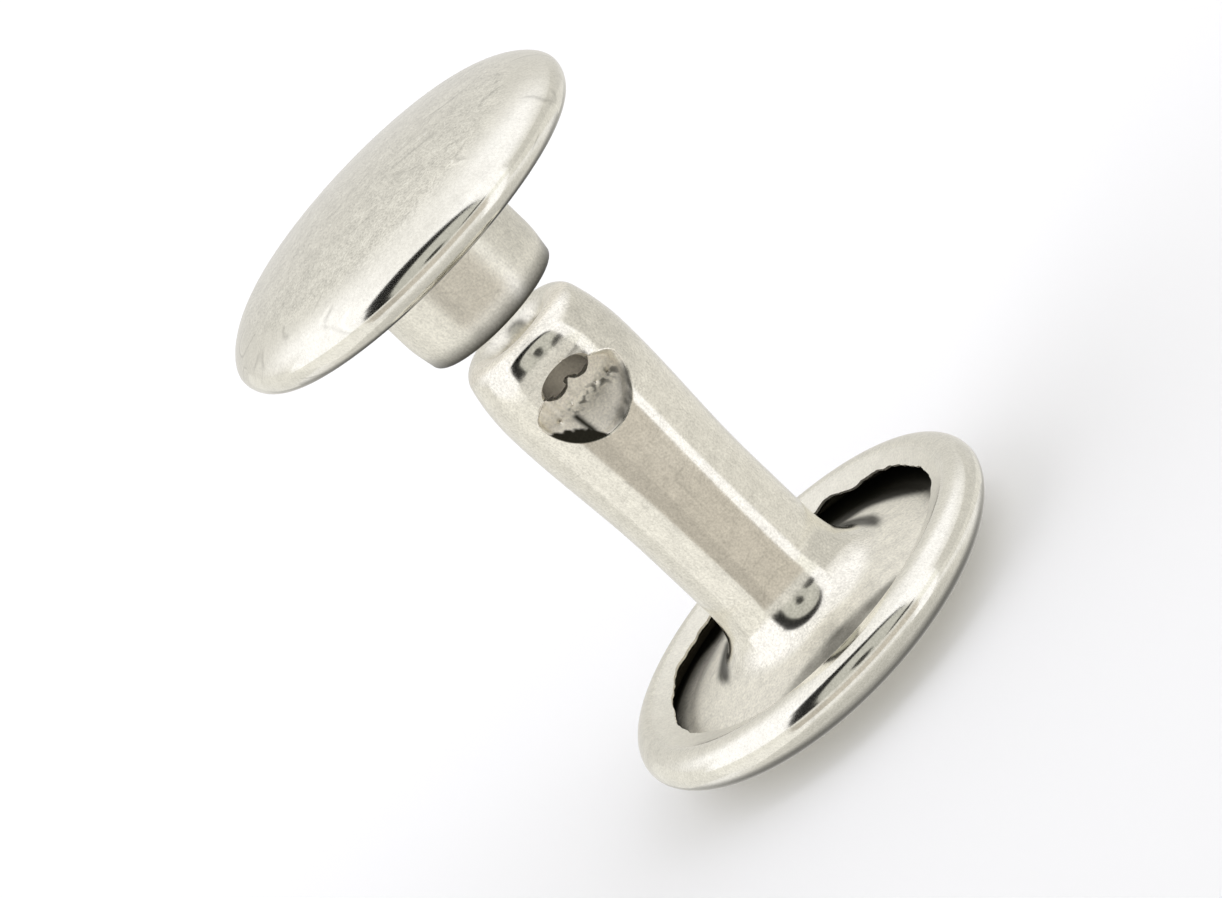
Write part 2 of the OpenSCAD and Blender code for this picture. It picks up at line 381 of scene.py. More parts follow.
def turn_section(obj, *sectors):
    """Turns the drawn section full circle, in one sector of (steps, degrees) after another, and welds it."""
    for steps, degrees in sectors:
        turn(steps, degrees)
    bpy.ops.mesh.select_all(action="SELECT")
    bpy.ops.mesh.remove_doubles(threshold=WELD)
    bpy.ops.mesh.normals_make_consistent(inside=False)
    bpy.ops.object.mode_set(mode="OBJECT")
    face_outwards(obj)


def face_outwards(obj):
    """The widest face of a turned sheet has to look away from the axis."""
    widest = max(obj.data.polygons, key=lambda f: f.center.xy.length)
    if widest.normal.xy.dot(widest.center.xy) < 0:
        edit_all()
        bpy.ops.mesh.flip_normals()
        bpy.ops.object.mode_set(mode="OBJECT")


def thicken(obj, sheet, thin=None):
    """Gives a skin the thickness of its sheet on the inside, with the dull inner side and the cut edges as
    its second and third materials. A vertex group thins the sheet where its weights are low."""
    wall = obj.modifiers.new("Sheet", "SOLIDIFY")
    wall.thickness = sheet
    wall.offset = -1
    wall.use_rim = True
    wall.material_offset = 1
    wall.material_offset_rim = 2
    if thin:
        wall.vertex_group = thin
        wall.use_flat_faces = False
    bpy.ops.object.modifier_apply(modifier=wall.name)


def sheet_finish(obj, name):
    """Outer plate, dull inner side with painted shade, and cut edge, in the order that the sheet's thickness
    takes them.
    """
    for material in (name, "dull_inside", "torn_sheet"):
        obj.data.materials.append(finish(material))


def mark(obj, name, amount):
    """Writes an attribute for the material, from a function of each point's place."""
    layer = obj.data.attributes.new(name, "FLOAT", "POINT")
    for v in obj.data.vertices:
        layer.data[v.index].value = amount(v.co)


def finish_piece(obj, node, crease=40):
    """Smooth shading, and the piece stands for its node on the rivet's one body."""
    bpy.ops.object.shade_smooth_by_angle(angle=math.radians(crease))
    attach(obj, ROOT)
    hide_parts(node)


# Sections of the four pieces

def domed_face(radius, shoulder_w, shoulder_h, dome_h, x_end):
    """Half section of a domed face with soft shoulders, from the widest line in to x_end."""
    inner = radius - shoulder_w
    face = oval((inner, 0), shoulder_w, shoulder_h, 0, 90, steps=22)
    face += [(x, shoulder_h) for x in evenly(inner, x_end, 16)]
    return [(x, z + dome_h * (1 - (x / radius) ** 2)) for x, z in face]


def cap_section(s):
    wide_z = CAP_LOW.z + s.rim_h
    face = [(x, wide_z + z) for x, z in domed_face(CAP_HIGH.x, s.shoulder_w, s.shoulder_h, s.dome_h, 0)]
    rim_x = CAP_HIGH.x - s.rim_w
    rim = oval((rim_x, wide_z), s.rim_w, s.rim_h, 0, -90, steps=20)
    hem = [(x, CAP_LOW.z) for x in evenly(rim_x, rim_x - s.hem_w, 2)]
    return joined(reversed(face), rim, hem)


def socket_section(s):
    barrel_r = s.barrel_d / 2
    mouth_r = s.mouth_d / 2
    flange_r, flange_top = SOCKET_HIGH.x, SOCKET_HIGH.z
    flange_z = flange_top - s.sheet
    taper_z = SOCKET_LOW.z + s.taper_l
    lean = math.degrees(math.atan2(barrel_r - mouth_r, s.taper_l - s.edge_r))
    bend = (barrel_r + s.bend_r, flange_z - s.bend_r)
    edge = (mouth_r - s.edge_r * math.cos(math.radians(lean)), SOCKET_LOW.z + s.edge_r)
    inner_bend_r = s.bend_r + s.sheet
    return joined(
        [(flange_r, flange_top), (flange_r, flange_z)],
        oval(bend, s.bend_r, s.bend_r, 90, 180, steps=10),
        [(barrel_r, z) for z in evenly(bend[1], taper_z, 6)[:-1]],
        taper_round(barrel_r, taper_z, lean, s.taper_l / 3),
        oval(edge, s.edge_r, s.edge_r, -lean, -90, steps=8),
        [(mouth_r - s.sheet, SOCKET_LOW.z), (barrel_r - s.sheet, taper_z)],
        oval(bend, inner_bend_r, inner_bend_r, 180, 90, steps=12),
        [(flange_r, flange_top)],
    )


def taper_round(barrel_r, taper_z, lean, reach):
    """The soft bend where the straight barrel starts to draw in, reaching as far on either side of it."""
    radius = reach / math.tan(math.radians(lean) / 2)
    return oval((barrel_r - radius, taper_z + reach), radius, radius, 0, -lean, steps=8)


def base_section(s):
    wide_z = BASE_HIGH.z - s.roll_h
    flat_r = s.flat_d / 2
    under = [(x, wide_z - z) for x, z in domed_face(BASE_HIGH.x, s.under_w, s.under_h, s.dome_h, flat_r)]
    roll_x = BASE_HIGH.x - s.roll_w
    roll = oval((roll_x, wide_z), s.roll_w, s.roll_h, 0, 90, steps=22)
    bend_end = 90 + math.degrees(s.lip_a)
    bend = oval((roll_x, BASE_HIGH.z - s.roll_bend_r), s.roll_bend_r, s.roll_bend_r, 90, bend_end, steps=6)
    lip = [(x, lip_z(s, x)) for x in evenly(bend[-1][0], roll_x - s.lip_w, 12)]
    return joined([(0, 0), (flat_r / 2, 0)], reversed(under), roll, bend, lip)


def lip_z(s, x):
    """Height of the straight lip at distance x from the axis."""
    slope_top = BASE_HIGH.z - s.roll_bend_r + s.roll_bend_r / math.cos(s.lip_a)
    return slope_top - (BASE_HIGH.x - s.roll_w - x) * math.tan(s.lip_a)


class Head:
    """Outer skin of the post above its foot: radius at each height, and the notch pressed into it."""

    flat_w = 1.3 * MM
    turned_w = 1.5 * MM
    shank_low = 3.2 * MM

    # The burrs, to the right of the middle and above the crease, in millimetres
    burrs = ((-0.72, 0.05), (-0.3, 0.1), (0.36, 0.06), (0.68, 0.05))
    burr_w = 0.045 * MM

    def __init__(self, post, notch):
        self.tip_z = POST_HIGH.z
        self.head_r = post.head_d / 2
        self.shank_r = post.shank_d / 2
        self.crest = (post.crest_d / 2, self.tip_z - post.crest_r)
        self.head_z = self.tip_z - post.head_drop
        self.neck_l = post.neck_l
        climb = self.crest[1] - self.head_z
        self.side_a = 2 * math.atan((self.head_r - self.crest[0] - post.crest_r) / climb)
        self.side_r = post.crest_r + climb / math.sin(self.side_a)
        self.side_top = self.head_z + self.side_r * math.sin(self.side_a)
        self.notch = notch
        self.wide_z = self.tip_z - notch.drop
        self.arch_top = self.wide_z + notch.arch_h
        self.low_z = self.wide_z - notch.under_h
        self.crease_z = self.wide_z - notch.crease_drop
        self.back = self.head_r - notch.depth

    def radius(self, z):
        if z >= self.head_z:
            return self.head_r - self.side_r + math.sqrt(self.side_r**2 - (z - self.head_z) ** 2)
        fall = min((self.head_z - z) / self.neck_l, 1)
        return between(self.shank_r, self.head_r, (1 + math.cos(math.pi * fall)) / 2)

    def inside(self, x, z):
        """Distance inside the notch's outline seen from the front, below zero outside."""
        n = self.notch
        height = n.over_h if z > self.wide_z else n.under_h
        bowl = inside_oval(x, z - self.wide_z, n.width / 2, height)
        return max(bowl, self.in_arch(x, z))

    def in_arch(self, x, z):
        n = self.notch
        return inside_oval(x, z - self.wide_z - n.arch_h / 2, n.arch_w / 2, n.arch_h / 2)

    def drawn_in(self, co):
        """How far the skin's front is flattened, and pulled in above and beside the notch."""
        if co.y > 0:
            return 0
        drop = self.tip_z - co.z
        down = min(max((drop - 0.36 * MM) / (0.45 * MM), 0), 1)
        pulled = down * down * (2 - down) * fade(abs(co.x), 1.2 * MM, 0.45 * MM)
        above = fade(co.z, self.wide_z, self.wide_z + 0.6 * MM)
        broad = max(1 - (co.x / self.flat_w) ** 2, 0) ** 2
        level = fade(drop, 0, 0.12 * MM) * (0.6 * fade(co.z, self.shank_low, 7.2 * MM) + 0.4 * above)
        return self.notch.pull * pulled * above + self.notch.flat * broad * level

    def turned_by(self, co):
        """The shank's front is turned a little to one side under the notch, as if wrung."""
        if co.y > 0 or abs(co.x) > self.turned_w:
            return 0
        high = fade(co.z, self.shank_low, 7.4 * MM) * fade(self.tip_z - co.z, 0.8 * MM, 2 * MM)
        return -self.notch.turn * co.x * high * (1 - (co.x / self.turned_w) ** 2) ** 2

    def pressed_y(self, x, z, free):
        """The sheet's outer face at x and z with the notch pressed in, from the free skin's place."""
        edge = self.inside(x, z)
        if edge <= 0:
            return free
        n = self.notch
        lean = (self.crease_z - z) * math.tan(n.scoop_a) + x * x / (2 * n.scoop_r * math.cos(n.scoop_a))
        ramp = -self.back - lean + n.streak * noise.noise((x / (0.13 * MM), 3.1, z / (0.13 * MM)))
        streaks = math.sin(x / (0.033 * MM)) + 1.5 * noise.noise((x / (0.1 * MM), 7.3, z / (0.6 * MM)))
        upright = -self.back + 0.7 * n.streak * streaks
        floor_y = soft_least(ramp, upright, 0.05 * MM) - n.burr * self.burr(x, z)
        high = fade(z - self.crease_z, 0, 0.3 * MM) * fade(abs(x), 0.85 * MM, 0.55 * MM)
        low_wall = between(0.12 * MM, 0.22 * MM, fade(x, -0.5 * MM, 0.5 * MM))
        return free + max(floor_y - free, 0) * fade(edge, 0, between(low_wall, 0.07 * MM, high))

    def burr(self, x, z):
        """One on the burrs along the crease, falling to zero round them."""
        away = min(math.hypot(x - right * MM, z - self.crease_z - up * MM) for right, up in self.burrs)
        return bell(away, self.burr_w)

    def hole(self, x, z):
        """Below zero inside the torn opening: two lobes under the arch, and the middle between them."""
        n = self.notch
        up = z - self.arch_top + n.lobe_drop
        left = math.hypot(x + n.lobe_x, up) - n.lobe_r
        right = math.hypot(x - 1.15 * n.lobe_x, up + 0.04 * MM) - 0.9 * n.lobe_r
        middle = math.hypot(x + 0.05 * MM, up - 0.09 * MM) - 0.8 * n.lobe_r
        ragged = 0.012 * MM * noise.noise((x / (0.07 * MM), z / (0.07 * MM), 2.1))
        return max(-self.in_arch(x, z), min(left, right, middle) + ragged)

    def bare(self, co):
        """How bare the sheet is: all of the notch's upright back, most of its bowl, none of the skin outside."""
        if co.y > 0 or not self.low_z < co.z < self.tip_z:
            return 0
        depth = co.y + math.sqrt(max(self.radius(co.z) ** 2 - co.x**2, 0))
        crease = self.crease_z - 0.3 * MM * fade(-co.x, 0.3 * MM, 0.42 * MM)
        back = fade(co.z - crease, -0.02 * MM, 0.04 * MM) * fade(depth, 0.1 * MM, 0.25 * MM)
        return max(back, 0.8 if self.inside(co.x, co.z) > 0 else 0)

    def face_y(self, x, z):
        """Where the pressed outer face lies at x and z."""
        free = -math.sqrt(self.radius(z) ** 2 - x**2)
        skin = Vector((x, free, z))
        return self.pressed_y(x, z, free + self.drawn_in(skin) + self.turned_by(skin))


def inside_oval(x, z, rx, rz):
    """Distance inside an ellipse, about true near its edge."""
    rho = math.hypot(x / rx, z / rz)
    if rho < 1e-6:
        return min(rx, rz)
    return (1 - rho) * rho / math.hypot(x / rx**2, z / rz**2)


def soft_least(a, b, reach):
    """The lesser of two numbers, rounded off where they are within reach of each other."""
    h = max(reach - abs(a - b), 0) / reach
    return min(a, b) - h * h * reach / 4


def post_section(s, head):
    """Outer skin from the middle of the dimple down to the edge of the flange."""
    flange_z = POST_LOW.z + s.sheet
    dish_r = s.dish_d / 2
    dimple = oval((0, head.crest[1]), head.crest[0] - s.crest_r, s.dimple_h, -90, 0, steps=12)
    crest = oval(head.crest, s.crest_r, s.crest_r, 180, math.degrees(head.side_a), steps=30)
    neck_z = head.head_z - head.neck_l
    fine_top = head.arch_top + 0.06 * MM
    fine_low = head.low_z - 0.06 * MM
    heights = spaced(head.side_top, fine_top, 0.05 * MM) + spaced(fine_top, fine_low, 0.025 * MM)
    heights += spaced(fine_low, neck_z, 0.14 * MM)
    side = [(head.radius(z), z) for z in heights]
    tighter = s.flare_r - s.foot_r
    foot_x = head.shank_r + s.flare_r - tighter * math.cos(s.flare_a)
    foot_z = flange_z + (dish_r - foot_x) * math.tan(s.dish_a) + s.foot_r / math.cos(s.dish_a)
    flare = (head.shank_r + s.flare_r, foot_z + tighter * math.sin(s.flare_a))
    turned = 180 + math.degrees(s.flare_a)
    shank = [(head.shank_r, z) for z in spaced(neck_z, flare[1], 0.25 * MM)]
    foot = joined(
        oval(flare, s.flare_r, s.flare_r, 180, turned, steps=12),
        oval((foot_x, foot_z), s.foot_r, s.foot_r, turned, 270 - math.degrees(s.dish_a), steps=24),
    )
    dish = zip(evenly(foot[-1][0], dish_r, 14), evenly(foot[-1][1], flange_z, 14))
    flange = [(x, flange_z) for x in spaced(dish_r, POST_HIGH.x, 0.08 * MM)]
    return joined(dimple, crest, side, shank, foot, dish, flange)


# Materials

def node(tree, kind, at, *inputs, **values):
    """A new node. Inputs fill its sockets in order; values go to its settings and sockets by name."""
    made = tree.nodes.new(kind)
    made.location = at
    for key, value in values.items():
        if hasattr(made, key):
            setattr(made, key, value)
        else:
            feed(tree, value, made.inputs[key.replace("_", " ")])
    for value, socket in zip(inputs, made.inputs):
        feed(tree, value, socket)
    return made


def feed(tree, value, socket):
    """Gives a socket a number, a colour, a node's first output, or the output that a (node, name) pair names."""
    if isinstance(value, bpy.types.Node):
        tree.links.new(next(output for output in value.outputs if output.enabled), socket)
    elif isinstance(value, tuple) and isinstance(value[0], bpy.types.Node):
        tree.links.new(value[0].outputs[value[1]], socket)
    else:
        socket.default_value = value


def maths(tree, at, operation, *inputs):
    return node(tree, "ShaderNodeMath", at, *inputs, operation=operation)


def stretched(tree, at, place, by):
    """Coordinates stretched along each axis, so that what follows them changes slower or faster that way."""
    return node(tree, "ShaderNodeVectorMath", at, place, by, operation="MULTIPLY")


def speckle(tree, at, place, scale, detail=0.0, rough=0.5):
    return node(tree, "ShaderNodeTexNoise", at, Vector=place, Scale=scale, Detail=detail, Roughness=rough)


def remap(tree, at, value, **limits):
    """From one range of numbers to another, held at its ends; each is 0 to 1 where no limit is given."""
    return node(tree, "ShaderNodeMapRange", at, value, **limits)


def mix(tree, at, **values):
    return node(tree, "ShaderNodeMix", at, data_type="RGBA", **values)


def tinted(tree, at, colour, tone):
    return mix(tree, at, blend_type="MULTIPLY", Factor=1, A=colour, B=tone)


def attribute(tree, name, at):
    return node(tree, "ShaderNodeAttribute", at, attribute_name=name), "Fac"


def new_material(name):
    """A material without nodes, and its tree."""
    mat = bpy.data.materials.new(name)
    mat.use_nodes = True
    mat.node_tree.nodes.clear()
    return mat, mat.node_tree


def new_group(name, numbers, outputs):
    """A node group that works on a colour, with the inputs (name, default) and the outputs (name, kind).

    Returns its tree, its input node, the object's coordinates, and a node for one over its first input.
    """
    tree = bpy.data.node_groups.new(name, "ShaderNodeTree")
    for label, default in numbers:
        socket = tree.interface.new_socket(name=label, in_out="INPUT", socket_type="NodeSocketFloat")
        socket.default_value = default
    tree.interface.new_socket(name="Colour", in_out="INPUT", socket_type="NodeSocketColor")
    for label, kind in outputs:
        tree.interface.new_socket(name=label, in_out="OUTPUT", socket_type=kind)
    given = node(tree, "NodeGroupInput", (-1100, 0))
    place = node(tree, "ShaderNodeTexCoord", (-1100, 300))
    scale = maths(tree, (-900, 0), "DIVIDE", 1, (given, numbers[0][0]))
    return tree, given, (place, "Object"), scale


def grain_group():
    """Fine grain of a plated sheet: a mottled tone, a tiny unevenness, and upright drawing lines."""
    tree, given, place, scale = new_group(
        "Plate grain",
        (("Grain", 0.05 * MM), ("Mottle", 0.05), ("Relief", 0.0005 * MM), ("Lines", 0.0)),
        (("Colour", "NodeSocketColor"), ("Normal", "NodeSocketVector")),
    )
    fine = speckle(tree, (-500, 300), place, scale, 2.0, 0.6)
    slow = maths(tree, (-700, 0), "MULTIPLY", scale, 0.16)
    cloud = speckle(tree, (-500, 0), place, slow, 3.0, 0.55)
    upright = stretched(tree, (-700, -300), place, (1, 1, 0.02))
    drawn = speckle(tree, (-500, -300), upright, scale, 2.0, 0.6)
    both = maths(tree, (-300, 150), "MULTIPLY_ADD", cloud, 0.5, fine)
    centred = maths(tree, (-120, 150), "SUBTRACT", both, 0.75)
    mottled = maths(tree, (60, 150), "MULTIPLY_ADD", centred, (given, "Mottle"), 1.0)
    lined = maths(tree, (-120, -200), "SUBTRACT", drawn, 0.5)
    tone = maths(tree, (240, 100), "MULTIPLY_ADD", lined, (given, "Lines"), mottled)
    grained = tinted(tree, (440, 200), (given, "Colour"), tone)
    bump = node(tree, "ShaderNodeBump", (440, -100), Distance=(given, "Relief"), Height=both)
    node(tree, "NodeGroupOutput", (700, 0), Colour=grained, Normal=bump)
    return tree


def scuff_group():
    """Fine curved scuffs, light ones and dark ones: in patches, where a slow field crosses a middle value."""
    tree, given, place, scale = new_group(
        "Scuffs", (("Reach", 0.9 * MM), ("Depth", 1.0)), (("Colour", "NodeSocketColor"),)
    )
    patch = speckle(tree, (-300, 600), place, scale)
    patches = remap(tree, (60, 600), patch, From_Min=0.54, From_Max=0.64)
    marks = []
    for y, stretch, middle, shade in ((300, (0.4, 1.0, 1.0), 0.5, 0.12), (-200, (0.4, 0.8, 1.0), 0.53, -0.24)):
        field = speckle(tree, (-500, y), stretched(tree, (-700, y), place, stretch), scale)
        off = maths(tree, (-300, y), "SUBTRACT", field, middle)
        near = maths(tree, (-120, y), "ABSOLUTE", off)
        line = remap(tree, (60, y), near, From_Max=0.035, To_Min=1.0, To_Max=0.0)
        mask = maths(tree, (260, y), "MULTIPLY", line, patches)
        marks.append(maths(tree, (440, y), "MULTIPLY", mask, shade))
    total = maths(tree, (620, 0), "ADD", *marks)
    tone = maths(tree, (780, 0), "MULTIPLY_ADD", total, (given, "Depth"), 1.0)
    scuffed = tinted(tree, (940, 0), (given, "Colour"), tone)
    node(tree, "NodeGroupOutput", (1120, 0), Colour=scuffed)
    return tree


def plate(name, colour, rough, mottle, relief, lines=0.0):
    """A metal with the plate's grain, duller, with painted shade, or more even where a piece's attributes say
    so.

    Its colour is given, or made by a function of the material's tree.
    """
    f = bpy.context.scene.rivet_finish
    mat, tree = new_material(name)
    clean = colour(tree) if callable(colour) else colour
    # Painted shade: where the shade attribute says so, the colour is mixed towards the painted shade colour
    darker = mix(tree, (-350, 50), Factor=attribute(tree, "shade", (-550, -50)), A=clean, B=f.painted_shade)
    even = attribute(tree, "even", (-550, -450))
    calmed = remap(tree, (-350, -450), even, To_Min=mottle, To_Max=EVEN_MOTTLE * mottle)
    grains = node(
        tree, "ShaderNodeGroup", (-100, 0), node_tree=bpy.data.node_groups.get("Plate grain") or grain_group(),
        Grain=f.grain, Mottle=calmed, Relief=relief, Lines=lines, Colour=darker,
    )
    dull = attribute(tree, "dull", (-350, -250))
    roughened = remap(tree, (-100, -250), dull, To_Min=rough, To_Max=f.dull_rough)
    skin = node(
        tree, "ShaderNodeBsdfPrincipled", (200, 0),
        Base_Color=(grains, "Colour"), Metallic=1.0, Roughness=roughened, Normal=(grains, "Normal"),
    )
    node(tree, "ShaderNodeOutputMaterial", (500, 0), Surface=skin)
    return mat


def scuffs_on(tree, colour, reach, depth):
    """The node that puts out a colour with scuffs on it."""
    group = bpy.data.node_groups.get("Scuffs") or scuff_group()
    return node(tree, "ShaderNodeGroup", (-550, 200), node_tree=group, Reach=reach, Depth=depth, Colour=colour)


def finish(name):
    """The rivet's materials, made on first use."""
    if name in bpy.data.materials:
        return bpy.data.materials[name]
    f = bpy.context.scene.rivet_finish

    def scuffed(tree):
        return scuffs_on(tree, f.bright, f.scuff, 1.0)

    def nicked(tree):
        """Small nicks, and bare metal where a piece's attribute says so."""
        bare = attribute(tree, "bare", (-950, 100))
        return mix(tree, (-550, 0), Factor=bare, A=scuffs_on(tree, f.drawn, f.nick, 0.5), B=f.torn)

    if name == "scuffed_plate":
        return plate(name, scuffed, f.bright_rough, mottle=1.2, relief=0.0002 * MM)
    if name == "drawn_plate":
        return plate(name, nicked, f.drawn_rough, mottle=0.7, relief=0.0003 * MM, lines=0.2)
    if name == "bright_plate":
        return plate(name, f.bright, f.bright_rough, mottle=0.45, relief=0.0002 * MM)
    # The dull inner side, its near-black colour painted shade
    if name == "dull_inside":
        return plate(name, f.inside, f.torn_rough, mottle=0.9, relief=0.002 * MM)
    return plate(name, f.torn, f.torn_rough, mottle=0.25, relief=0.004 * MM)


def glow(name):
    """The studio's plain lit surfaces, made on first use."""
    if name in bpy.data.materials:
        return bpy.data.materials[name]
    colour, strength = GLOWS[name]
    mat, tree = new_material(name)
    lit = node(tree, "ShaderNodeEmission", (0, 0), Color=(*colour, 1), Strength=strength)
    node(tree, "ShaderNodeOutputMaterial", (300, 0), Surface=lit)
    return mat


# Operators, one for each piece and one for the studio

class RIVET_OT_base_shell(bpy.types.Operator):
    """Base shell: domed underside and a rim rolled over the post's flange, with a torn lip"""

    bl_idname = "rivet.base_shell"
    bl_label = "Base shell"

    # On the torn edge, each as its azimuth and width in degrees and its depth
    tongues = ((45, 7, 1.8), (64, 4, 2), (210, 14, 1.1))
    bites = ((350, 14, 1), (138, 14, 1))

    def execute(self, context):
        s = context.scene.rivet_base
        obj = draw_section("base_shell_sheet", base_section(s))
        turn_section(obj, (BASE_STEPS, 360))
        self.tear_lip(obj, s)
        mark(obj, "dull", lambda co: self.dull(co, s))
        sheet_finish(obj, "bright_plate")
        thicken(obj, s.sheet, "thin_edge")
        finish_piece(obj, "base_shell")
        return {"FINISHED"}

    def dull(self, co, s):
        """The lip has kept a dull plate."""
        inward = BASE_HIGH.x - s.roll_w - co.xy.length
        return LIP_DULL * fade(inward, 0, s.roll_bend_r) if co.z > BASE_HIGH.z - s.roll_h else 0

    def tear_lip(self, obj, s):
        """Draws the lip's points along its slope, so that the sheet thins out and ends at the torn edge."""
        roll_x = BASE_HIGH.x - s.roll_w
        start = roll_x - s.roll_bend_r * math.sin(s.lip_a)
        end = roll_x - s.lip_w
        group = obj.vertex_groups.new(name="thin_edge")
        thin = s.lip_sheet / s.sheet
        for v in obj.data.vertices:
            reach = v.co.xy.length
            weight = 1
            if v.co.z > BASE_HIGH.z - s.roll_h and reach < start - LIP_START:
                along = (start - reach) / (start - end)
                r = between(start, self.edge_r(math.degrees(math.atan2(v.co.y, v.co.x)), s), along)
                v.co = v.co * (r / reach)
                v.co.z = lip_z(s, r)
                weight = between(1, thin, fade(along, 0.65, 1))
            group.add([v.index], weight, "REPLACE")

    def edge_r(self, a, s):
        """Radius of the torn edge: tongues, bites and waves, and on them a fine raggedness."""
        def torn(places):
            return sum(depth * bell((a - at + 540) % 360 - 180, width) for at, width, depth in places)

        wave = math.sin(math.radians(a + 20)) + 0.15 * math.sin(math.radians(19 * a))
        around = Vector((math.cos(math.radians(a)), math.sin(math.radians(a)), 0))
        fine = 0.35 * noise.noise(around * 14) + 0.18 * noise.noise(around * 45)
        torn_in = wave - torn(self.tongues) + torn(self.bites) + fine
        return BASE_HIGH.x - s.roll_w - s.lip_w + s.tear * torn_in


class RIVET_OT_post(bpy.types.Operator):
    """Post: a drawn tube with a dished flange, a rounded tip and a notch pressed into its head"""

    bl_idname = "rivet.post"
    bl_label = "Post"

    # The strokes of painted reflection beside the foot, from and to, in millimetres; the flange is foreshortened
    # as it is seen
    foreshortened = 0.3
    strokes = (((-1.7, 0.39), (-2.22, 0.1)), ((1.7, 0.42), (2.24, 0.08)))

    def execute(self, context):
        s = context.scene.rivet_post
        head = Head(s, context.scene.rivet_notch)
        obj = draw_section("post_sheet", post_section(s, head), math.radians(FRONT - POST_FRONT / 2))
        turn_section(obj, (POST_FRONT_STEPS, POST_FRONT), (POST_REAR_STEPS, 360 - POST_FRONT))
        self.press_notch(obj, head)
        self.tear_opening(obj, head)
        mark(obj, "bare", head.bare)
        mark(obj, "dull", lambda co: self.dull(co, s, head))
        # Painted shade on the flange under the rim and in the notch
        mark(obj, "shade", lambda co: self.shade(co, head))
        sheet_finish(obj, "drawn_plate")
        outer = len(obj.data.vertices)
        thicken(obj, s.sheet)
        self.keep_inside(obj, outer, head)
        finish_piece(obj, "post", 50)
        return {"FINISHED"}

    def dull(self, co, s, head):
        """The flange, the tip and the bottom of the notch have kept their dull plate."""
        reach = co.xy.length
        if co.z < head.low_z:
            return FLANGE_DULL * fade(reach - head.shank_r, 0.4 * s.foot_r, 0.85 * s.foot_r)
        tip = TIP_DULL if reach < head.crest[0] and co.z > head.arch_top else 0
        border = (0.015 if co.z > head.crease_z else 0.05) * MM
        notched = co.y < 0 and co.z > head.low_z and head.inside(co.x, co.z) > border
        return max(tip, 1 - head.burr(co.x, co.z) if notched else 0)

    def shade(self, co, head):
        """Painted shade on the flange under the rolled rim, and in patches of the notch."""
        if co.z < BASE_HIGH.z:
            return self.flange_shade(co.xy / MM)
        edge = head.inside(co.x, co.z) / MM
        if co.y > 0 or edge <= 0 or not head.low_z < co.z < head.wide_z:
            return 0
        x, z = co.x / MM, (co.z - head.low_z) / MM
        return fade(edge, 0, 0.03) * max(self.wedge(x, z, edge), self.blotches(x, z), self.crescent(x, z, edge))

    def flange_shade(self, at):
        """Painted shade under the rolled rim, and painted reflections of its cavity: a grey smear in front, a
        stroke each side of the foot.
        """
        near_foot = fade(at.x, -2.5, -1.7)
        left_r = 3.88 - 0.45 * near_foot - 0.2 * fade(at.y, 1.8, 0.6)
        left = fade(at.length, left_r, left_r + 0.16 + 0.25 * near_foot)
        right_y = 1.45 - 1.6 * (max(at.x - 2.3, 0) / 1.18) ** 1.3
        right = fade(at.y, right_y - 0.3, right_y + 0.3) if at.x > 0 else 0
        under_rim = max(left, right) * fade(at.y, -0.9, -0.2)
        smear = fade(-at.y, 2.4, 2.65) * fade(abs(at.x + 0.1), 2.4, 1.6)
        smear *= 0.6 + 0.3 * noise.noise((at.x / 0.5, at.y / 0.3, 5.2))
        away = min(self.from_stroke(Vector((at.x, self.foreshortened * at.y)), *ends) for ends in self.strokes)
        return max(under_rim, smear, 0.93 * fade(away, 0.23, 0.06))

    def from_stroke(self, seen, start, end):
        """Distance from a stroke between two points."""
        off = seen - Vector(start)
        along = Vector(end) - Vector(start)
        return (off - min(max(off.dot(along) / along.length_squared, 0), 1) * along).length

    def wedge(self, x, z, edge):
        """Painted shade: a black wedge on the bowl's left; its top falls to the right, and a thin spur stands up
        from it.
        """
        ragged = 0.06 * noise.noise((x * 11, z * 11, 4.1))
        top = ragged + (0.52 - 0.72 * (x + 0.55) if x < -0.42 else -1.7 * (x + 0.17))
        body = fade(z, top, top - 0.06) * fade(edge + ragged - 0.2 * z, 0.24, 0.17)
        spur = bell(x + 0.34 + 0.12 * z, 0.07) * fade(z, 0.74, 0.66) * fade(z, 0.1, 0.3)
        return max(body, spur)

    def blotches(self, x, z):
        """Painted shade in grey blotches along the crease."""
        near = bell(z - 0.78, 0.12) * fade(x, -0.5, -0.4) * fade(x, 0.95, 0.8)
        return 0.75 * near * fade(noise.noise((x * 10, z * 13, 0.7)), -0.05, 0.25)

    def crescent(self, x, z, edge):
        """Painted shade, soft grey along the bowl's lower right edge."""
        uneven = 0.85 + 0.5 * noise.noise((x * 9, edge * 9, 2.9))
        return 0.78 * uneven * fade(z, 0.9, 0.6) * fade(x, -0.15, 0.3) * fade(edge, 0.32, 0.08)

    def keep_inside(self, obj, outer, head):
        """The inner side stays within the post's round skin, and behind the pressed face at the notch's ends."""
        for v in obj.data.vertices[outer:]:
            if head.low_z < v.co.z < head.side_top:
                most = head.radius(v.co.z) - 0.12 * MM
                reach = v.co.xy.length
                if reach > most:
                    v.co.xy = v.co.xy * (most / reach)
                if v.co.y < 0 and 0.75 * MM < abs(v.co.x) < PRESSED_W:
                    v.co.y = max(v.co.y, head.face_y(v.co.x, v.co.z) + 0.04 * MM)

    def press_notch(self, obj, head):
        """Flattens and turns the skin's front a little, and presses the notch into it."""
        for v in obj.data.vertices:
            if v.co.y < 0 and v.co.z > PRESSED_LOW:
                free = v.co.y + head.drawn_in(v.co) + head.turned_by(v.co)
                pressed = head.low_z < v.co.z < head.side_top and abs(v.co.x) < PRESSED_W
                v.co.y = head.pressed_y(v.co.x, v.co.z, free) if pressed else free

